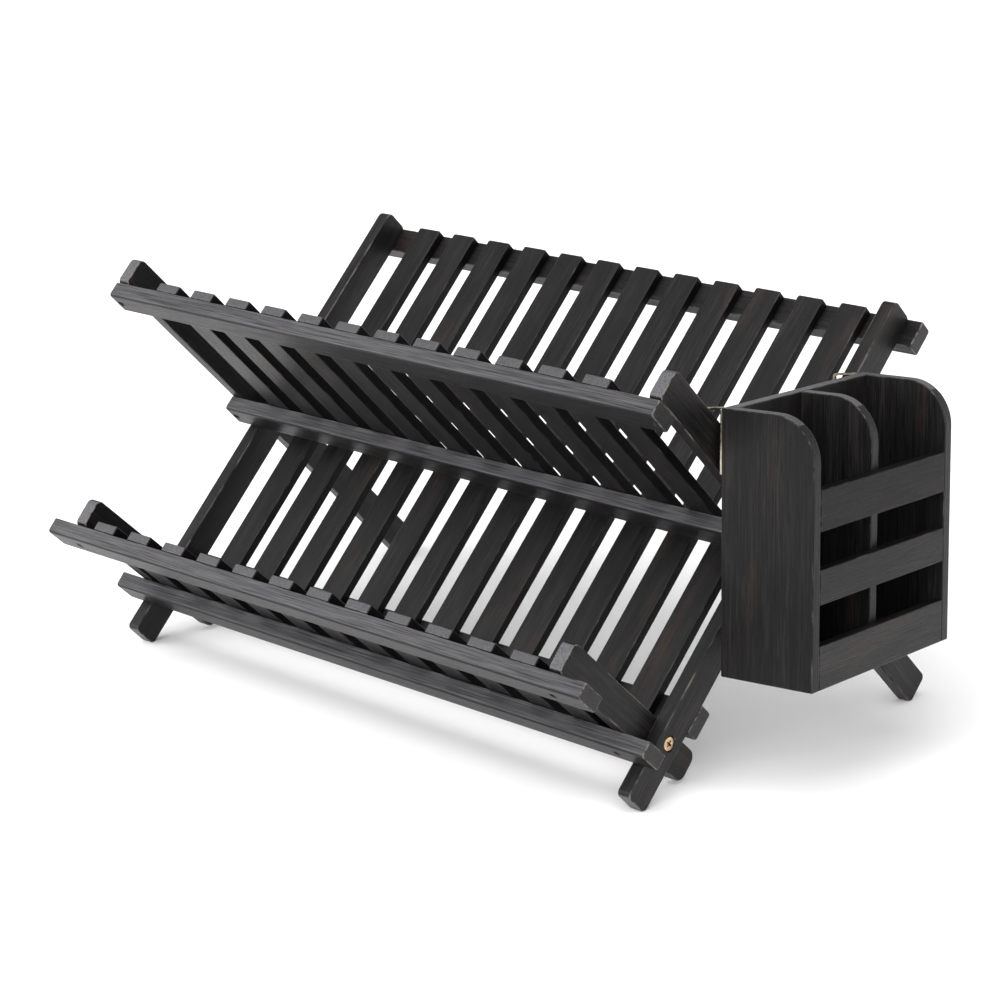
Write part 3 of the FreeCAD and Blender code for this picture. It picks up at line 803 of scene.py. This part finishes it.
class AddBarScrews(bpy.types.Operator):
    """Add the black screws that hold each frame's bars to its rails"""
    bl_idname = "dish_rack.add_bar_screws"
    bl_label = "Bar Screws"

    def execute(self, context):
        sizes = context.scene.rack_sizes
        drop = sizes.rail_depth / 2 + sizes.bar_thick - sizes.screw_sink
        reach = sizes.bar_thick - sizes.screw_sink + sizes.screw_bite - BAR_SCREW_GAP
        for part in slatted_frames():
            places = [axes_matrix(part.point(sign * part.rail_middle, middle, -drop),
                                  part.sideways, -part.along, -part.across)
                      for _, _, middle in part.bars for sign in (-1, 1)]
            screw = countersunk_screw(sizes.screw_head, sizes.screw_shank, reach)
            name = f"{part.name}_screws"
            add_piece(name, copies(screw, places), Matrix(), "black_screw", part.name, name)
        return {"FINISHED"}


class AddHingeScrews(bpy.types.Operator):
    """Add the brass screws on the two hinge lines"""
    bl_idname = "dish_rack.add_hinge_screws"
    bl_label = "Hinge Screws"

    def execute(self, context):
        sizes = context.scene.rack_sizes
        long_frame, upper_frame, _ = slatted_frames()
        reach = sizes.rail_thick + sizes.layer_gap + sizes.pivot_bite - sizes.pivot_sink
        places = []
        for hinge, outer in (("upper_fold", upper_frame.outer),
                             ("lower_fold", long_frame.outer)):
            for sign in (-1, 1):
                outward = AXIS_X * sign
                head = hinge_points[hinge] + outward * (outer - sizes.pivot_sink)
                places.append(axes_matrix(head, long_frame.along,
                                          outward.cross(long_frame.along), outward))
        screw = countersunk_screw(sizes.pivot_head, sizes.pivot_shank, reach)
        add_piece("hinge_screws", copies(screw, places), Matrix(), "brass", "long_frame",
                  "hinge_screws")
        return {"FINISHED"}


# ---------------------------------------------------------------- the caddy

def in_caddy(x, y, z, x_axis, y_axis):
    """Matrix at a point of the hanging caddy, with two of the caddy's directions."""
    sizes = bpy.context.scene.caddy_sizes
    corner = hinge_points["upper_fold"] + Vector((sizes.out, -sizes.front, -sizes.down))
    turn = Euler((-sizes.roll, -sizes.tilt, sizes.yaw), "XYZ").to_matrix().to_4x4()
    return (Matrix.Translation(corner) @ turn
            @ axes_matrix(Vector((x, y, z)), x_axis, y_axis, x_axis.cross(y_axis)))


def board_mesh(board_length, width, thickness, corner_radius=0):
    """Board along X with one rounded corner, far along and across."""
    corners = ((0, 0, 0), (board_length, 0, 0), (board_length, width, corner_radius),
               (0, width, 0))
    return ease_edges(extruded(rounded_outline(corners, steps=20), 0, thickness), wear=CADDY_WEAR)


class AddCaddyPanels(bpy.types.Operator):
    """Add the caddy's end panels, divider, back panel and floor"""
    bl_idname = "dish_rack.add_caddy_panels"
    bl_label = "Caddy Panels"

    def execute(self, context):
        sizes = context.scene.caddy_sizes
        thick = sizes.panel_thick
        inner_depth = sizes.depth - thick - sizes.face_thick
        floor_top = sizes.floor_base + sizes.floor_thick
        # The last number of each end is its painted shade, which darkens the front panel.
        ends = (("caddy_front_panel", 0, 0.25), ("caddy_rear_panel", sizes.length - thick, 0))
        for name, y, shade_level in ends:
            add_board(name, board_mesh(sizes.height, sizes.depth, thick, sizes.panel_round),
                      in_caddy(0, y, 0, AXIS_Z, AXIS_X), "caddy", shade_level=shade_level)
        add_board("caddy_divider",
                  board_mesh(sizes.height - floor_top, inner_depth, thick, sizes.panel_round),
                  in_caddy(thick, sizes.divider_from_front, floor_top, AXIS_Z, AXIS_X), "caddy")
        add_board("caddy_back_panel", board_mesh(sizes.height, sizes.length - 2 * thick, thick),
                  in_caddy(thick, thick, 0, AXIS_Z, AXIS_Y), "caddy")
        add_board("caddy_floor",
                  board_mesh(sizes.length - 2 * thick, inner_depth, sizes.floor_thick),
                  in_caddy(thick + inner_depth, thick, sizes.floor_base, AXIS_Y, -AXIS_X), "caddy")
        return {"FINISHED"}


class AddFaceSlats(bpy.types.Operator):
    """Add the slats across the caddy's outer face"""
    bl_idname = "dish_rack.add_face_slats"
    bl_label = "Face Slats"

    def execute(self, context):
        sizes = context.scene.caddy_sizes
        # The last number of each level is its painted shade, darker towards the top slat.
        levels = (("low", sizes.face_low_base, sizes.face_low_height, 0.1),
                  ("middle", sizes.face_middle_base, sizes.face_middle_height, 0.35),
                  ("top", sizes.face_top_base, sizes.face_top_height, 0.6))
        for level, base, height, shade_level in levels:
            mesh = board_mesh(sizes.length - 2 * sizes.panel_thick, height, sizes.face_thick)
            place = in_caddy(sizes.depth - sizes.face_thick, sizes.panel_thick, base,
                             AXIS_Y, AXIS_Z)
            add_board(f"caddy_face_slat_{level}", mesh, place, "caddy", "caddy_face_slats",
                      shade_level=shade_level)
        return {"FINISHED"}


def hook_places():
    """Where the two hook strips start along the caddy."""
    sizes = bpy.context.scene.caddy_sizes
    return sizes.hook_inset, sizes.length - sizes.hook_inset - sizes.hook_width


class AddHooks(bpy.types.Operator):
    """Add the two bent steel strips that the caddy hangs by"""
    bl_idname = "dish_rack.add_hooks"
    bl_label = "Hooks"

    def execute(self, context):
        sizes = context.scene.caddy_sizes
        gauge, reach, top = sizes.hook_thick, sizes.hook_reach, sizes.height
        far_top = top - sizes.hook_fall
        outer_bend, inner_bend = sizes.hook_bend + gauge, sizes.hook_bend
        plate_end, lip_end = top - sizes.hook_plate, far_top - sizes.hook_lip
        outline = rounded_outline([
            (0, plate_end, 0), (0, top, outer_bend), (-reach, far_top, outer_bend),
            (-reach, lip_end, 0), (gauge - reach, lip_end, 0),
            (gauge - reach, far_top - gauge, inner_bend), (-gauge, top - gauge, inner_bend),
            (-gauge, plate_end, 0)])
        spare = (sizes.hook_width - sizes.hook_tongue) / 2
        beside = [Vector(point) for point in ((-2 * reach, lip_end - gauge),
                                              (-gauge, lip_end - gauge), (-gauge, 2 * top),
                                              (-2 * reach, 2 * top))]
        for number, y in enumerate(hook_places(), start=1):
            strip = carved(extruded(outline, 0, sizes.hook_width),
                           [extruded(beside, -gauge, spare),
                            extruded(beside, sizes.hook_width - spare, 2 * sizes.hook_width)])
            add_piece(f"caddy_hook_{number}", ease_edges(strip, HOOK_EASE * gauge),
                      in_caddy(0, y + sizes.hook_width, 0, AXIS_X, AXIS_Z), "steel", "caddy",
                      "caddy_hooks")
        return {"FINISHED"}


class AddHookScrews(bpy.types.Operator):
    """Add the brass screws that hold the hook strips"""
    bl_idname = "dish_rack.add_hook_screws"
    bl_label = "Hook Screws"

    def execute(self, context):
        sizes = context.scene.caddy_sizes
        places = [in_caddy(-sizes.hook_thick, y + sizes.hook_width / 2, sizes.height - drop,
                           AXIS_Z, AXIS_Y)
                  for y in hook_places() for drop in (sizes.screw_upper, sizes.screw_lower)]
        screw = dome_screw(sizes.screw_head, sizes.screw_rise, sizes.screw_shank,
                           sizes.hook_thick + sizes.screw_bite - HOOK_SCREW_GAP)
        add_piece("caddy_hook_screws", copies(screw, places), Matrix(), "brass", "caddy",
                  "caddy_hook_screws")
        return {"FINISHED"}


# ---------------------------------------------------------------- the stage

def link_new(name, data):
    """Object in the scene that holds a light's or a camera's data."""
    item = bpy.data.objects.new(name, data)
    bpy.context.scene.collection.objects.link(item)
    return item


def add_soft_light(name, place, target, width, power):
    """Add a round lamp that faces its target."""
    data = bpy.data.lights.new(name, "AREA")
    data.shape = "DISK"
    data.size = width
    data.energy = power
    light = link_new(name, data)
    light.matrix_world = (Matrix.Translation(place)
                          @ (Vector(target) - Vector(place)).to_track_quat("-Z", "Y")
                          .to_matrix().to_4x4())


def studio_world():
    """Studio that is white low down and greyer overhead."""
    world = bpy.data.worlds.new("studio")
    world.use_nodes = True
    tree = world.node_tree
    place = tree.nodes.new("ShaderNodeTexCoord")
    split = tree.nodes.new("ShaderNodeSeparateXYZ")
    fade = tree.nodes.new("ShaderNodeMapRange")
    fade.interpolation_type = "SMOOTHSTEP"
    for name, number in STUDIO_FADE.items():
        fade.inputs[name].default_value = number
    tree.links.new(place.outputs["Generated"], split.inputs["Vector"])
    tree.links.new(split.outputs["Z"], fade.inputs["Value"])
    background = tree.nodes["Background"]
    background.inputs["Color"].default_value = WHITE
    tree.links.new(fade.outputs["Result"], background.inputs["Strength"])
    return world


def add_floor():
    """Add the pale paper that the rack stands on."""
    corners = [Vector((x * FLOOR_REACH, y * FLOOR_REACH))
               for x, y in ((-1, -1), (1, -1), (1, 1), (-1, 1))]
    floor = as_object("floor", extruded(corners, FLOOR_BOTTOM, FLOOR_TOP))
    paper = Nodes("paper")
    paper.shader.inputs["Base Color"].default_value = PAPER
    paper.shader.inputs["Roughness"].default_value = PAPER_ROUGHNESS
    floor.data.materials.append(paper.material)


def add_lights():
    """Add the studio, the wide sun and the soft lamps."""
    bpy.context.scene.world = studio_world()
    sun = bpy.data.lights.new("soft_sun", "SUN")
    sun.energy = SUN_STRENGTH
    sun.angle = SUN_SPREAD
    link_new("soft_sun", sun).rotation_euler = SUN_LEAN
    for light in SOFT_LIGHTS:
        add_soft_light(*light)


def add_camera():
    """Add the camera, turned about its aim point near the upper hinge."""
    studio = bpy.context.scene.rack_studio
    look = Vector((-math.sin(studio.azimuth) * math.cos(studio.elevation),
                   math.cos(studio.azimuth) * math.cos(studio.elevation),
                   -math.sin(studio.elevation)))
    right = Vector((math.cos(studio.azimuth), math.sin(studio.azimuth), 0))
    rise = right.cross(look)
    place = (hinge_points["upper_fold"] - look * studio.distance + right * studio.aim_side
             + rise * studio.aim_rise)
    data = bpy.data.cameras.new("camera")
    data.lens = studio.lens
    data.sensor_width = SENSOR_WIDTH
    camera = link_new("camera", data)
    camera.matrix_world = (axes_matrix(place, right, rise, -look)
                           @ Matrix.Rotation(studio.camera_roll, 4, "Z"))
    bpy.context.scene.camera = camera


class AddStage(bpy.types.Operator):
    """Add the pale floor, the soft lights and the camera"""
    bl_idname = "dish_rack.add_stage"
    bl_label = "Stage"

    def execute(self, context):
        add_floor()
        add_lights()
        context.scene.view_settings.view_transform = "Standard"
        add_camera()
        return {"FINISHED"}


class RackPanel(bpy.types.Panel):
    """Sidebar panel that lists the sizes, the finishes and the pieces"""
    bl_idname = "DISH_RACK_PT_main"
    bl_label = "Dish Rack"
    bl_space_type = "VIEW_3D"
    bl_region_type = "UI"
    bl_category = "Dish Rack"

    def draw(self, context):
        for operator in OPERATORS:
            self.layout.operator(operator.bl_idname)
        for settings in SETTINGS:
            box = self.layout.box()
            group = getattr(context.scene, settings)
            for name in group.__annotations__:
                box.prop(group, name)


OPERATORS = (AddRails, AddBars, AddSlats, AddBarScrews, AddHingeScrews, AddCaddyPanels,
             AddFaceSlats, AddHooks, AddHookScrews, AddStage)
SETTINGS = {"rack_sizes": RackSizes, "caddy_sizes": CaddySizes, "rack_finish": RackFinish,
            "rack_studio": StudioSettings}


def register():
    """Add the panel, the operators and the settings."""
    for item in (*SETTINGS.values(), *OPERATORS, RackPanel):
        bpy.utils.register_class(item)
    for name, group in SETTINGS.items():
        setattr(bpy.types.Scene, name, bpy.props.PointerProperty(type=group))


def unregister():
    """Take the panel, the operators and the settings away."""
    for name in SETTINGS:
        delattr(bpy.types.Scene, name)
    for item in reversed((*SETTINGS.values(), *OPERATORS, RackPanel)):
        bpy.utils.unregister_class(item)


def main():
    """Build every piece and the stage."""
    register()
    for operator in OPERATORS:
        name = operator.bl_idname.split(".")[1]
        getattr(bpy.ops.dish_rack, name)()


if __name__ == "__main__":
    main()
